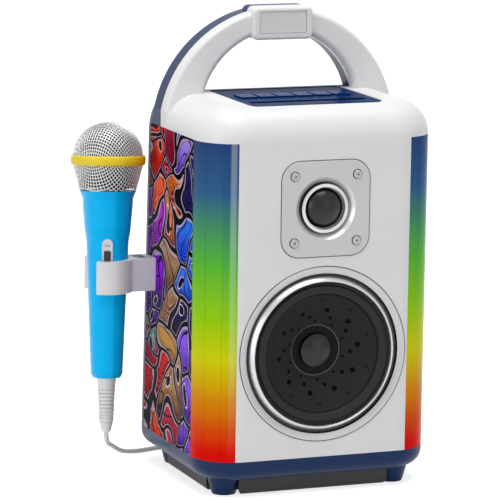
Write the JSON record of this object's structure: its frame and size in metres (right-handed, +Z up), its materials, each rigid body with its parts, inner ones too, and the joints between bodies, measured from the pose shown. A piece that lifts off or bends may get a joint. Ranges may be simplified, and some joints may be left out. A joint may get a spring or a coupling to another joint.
{
  "type": "karaoke machine",
  "caption": "Upright karaoke speaker with an arched handle, light bars on its front corners, a woofer and a tweeter, top keys, and a corded microphone in a side clip",
  "frame": {"origin": "the middle of the base's rest face, on the floor", "axes": "+Z up, the front faces -Y, the microphone is on -X"},
  "size_m": [0.2321, 0.2186, 0.3365],
  "materials": {
    "shell_white": "satin",
    "shell_navy": "satin",
    "base_black": "matt",
    "pad_rubber": "matt",
    "side_print": "satin",
    "light_diffuser": "satin",
    "circuit_board": "satin",
    "panel_navy": "gloss",
    "key_navy": "satin",
    "inlay_grey": "satin",
    "plate_silver": "satin",
    "chrome_ring": "polished",
    "dome_black": "gloss",
    "magnet_grey": "matt",
    "screw_steel": "satin",
    "basket_steel": "satin",
    "surround_rubber": "matt",
    "spider_cloth": "matt",
    "cone_black": "satin",
    "coil_copper": "satin",
    "panel_black": "satin",
    "port_steel": "satin",
    "battery_wrap": "satin",
    "mic_blue": "satin",
    "mic_mesh": "satin",
    "band_yellow": "satin",
    "foam_black": "matt",
    "capsule_metal": "satin",
    "switch_white": "satin",
    "boot_white": "satin",
    "cord_white": "satin"
  },
  "bodies": {
    "cabinet": {"front_housing": "shell_white", "mic_holder": "shell_white", "rear_housing": "shell_navy", "base_tray": "shell_navy", "bottom_cover": "base_black", "foot_pads": "pad_rubber", "side_panel_left": "side_print", "side_panel_right": "side_print", "light_bar_left": "light_diffuser", "light_bar_right": "light_diffuser", "led_board_left": "circuit_board", "led_board_right": "circuit_board", "control_board": "circuit_board", "main_board": "circuit_board", "top_panel": "panel_navy", "grip_inlay": "inlay_grey", "tweeter_plate": "plate_silver", "woofer_trim": "plate_silver", "woofer_ring": "chrome_ring", "mic_plug_tip": "chrome_ring", "tweeter_dome": "dome_black", "tweeter_magnet": "magnet_grey", "woofer_magnet": "magnet_grey", "tweeter_screws": "screw_steel", "woofer_screws": "screw_steel", "case_screws": "screw_steel", "base_screws": "screw_steel", "holder_screws": "screw_steel", "woofer_basket": "basket_steel", "woofer_surround": "surround_rubber", "woofer_spider": "spider_cloth", "jack_panel": "panel_black", "mic_jack": "panel_black", "cord_tie": "panel_black", "usb_port": "port_steel", "charge_port": "port_steel", "battery_pack": "battery_wrap", "mic_plug": "boot_white", "mic_cord": "cord_white", "mic_cord_coil": "cord_white"},
    "key_power": {"key_power": "key_navy"},
    "key_mode": {"key_mode": "key_navy"},
    "key_previous": {"key_previous": "key_navy"},
    "key_play": {"key_play": "key_navy"},
    "key_next": {"key_next": "key_navy"},
    "key_record": {"key_record": "key_navy"},
    "woofer_cone": {"woofer_cone": "cone_black", "dust_cap": "dome_black", "voice_coil": "coil_copper"},
    "mic": {"mic_body": "mic_blue", "mic_collar": "mic_blue", "mic_grille_lower": "mic_mesh", "mic_grille_upper": "mic_mesh", "mic_band": "band_yellow", "mic_foam": "foam_black", "mic_capsule": "capsule_metal", "mic_switch_plate": "switch_white", "mic_boot": "boot_white"},
    "mic_switch": {"mic_switch": "panel_black"},
    "power_switch": {"power_switch": "panel_black"}
  },
  "joints": [
    {"name": "key_power_press", "type": "slide", "parent": "cabinet", "child": "key_power", "axis": [0, 0, -1], "range_m": [0, 0.0008], "stiffness_N_per_m": 200, "springref_m": -0.0005},
    {"name": "key_mode_press", "type": "slide", "parent": "cabinet", "child": "key_mode", "axis": [0, 0, -1], "range_m": [0, 0.0008], "stiffness_N_per_m": 200, "springref_m": -0.0005},
    {"name": "key_previous_press", "type": "slide", "parent": "cabinet", "child": "key_previous", "axis": [0, 0, -1], "range_m": [0, 0.0008], "stiffness_N_per_m": 200, "springref_m": -0.0005},
    {"name": "key_play_press", "type": "slide", "parent": "cabinet", "child": "key_play", "axis": [0, 0, -1], "range_m": [0, 0.0008], "stiffness_N_per_m": 200, "springref_m": -0.0005},
    {"name": "key_next_press", "type": "slide", "parent": "cabinet", "child": "key_next", "axis": [0, 0, -1], "range_m": [0, 0.0008], "stiffness_N_per_m": 200, "springref_m": -0.0005},
    {"name": "key_record_press", "type": "slide", "parent": "cabinet", "child": "key_record", "axis": [0, 0, -1], "range_m": [0, 0.0008], "stiffness_N_per_m": 200, "springref_m": -0.0005},
    {"name": "woofer_stroke", "type": "slide", "parent": "cabinet", "child": "woofer_cone", "axis": [0, -1, 0], "range_m": [-0.002, 0.002], "stiffness_N_per_m": 1500},
    {"name": "mic_lift", "type": "slide", "parent": "cabinet", "child": "mic", "axis": [0.034, 0.0988, 0.9945], "range_m": [0, 0.13]},
    {"name": "mic_switch_slide", "type": "slide", "parent": "mic", "child": "mic_switch", "axis": [-0.0213, -0.0618, -0.9979], "range_m": [0, 0.004]},
    {"name": "power_rocker", "type": "hinge", "parent": "cabinet", "child": "power_switch", "pos_m": [-0.03, 0.06831, 0.07282], "axis": [1, 0, 0], "range_deg": [0, 12]}
  ]
}
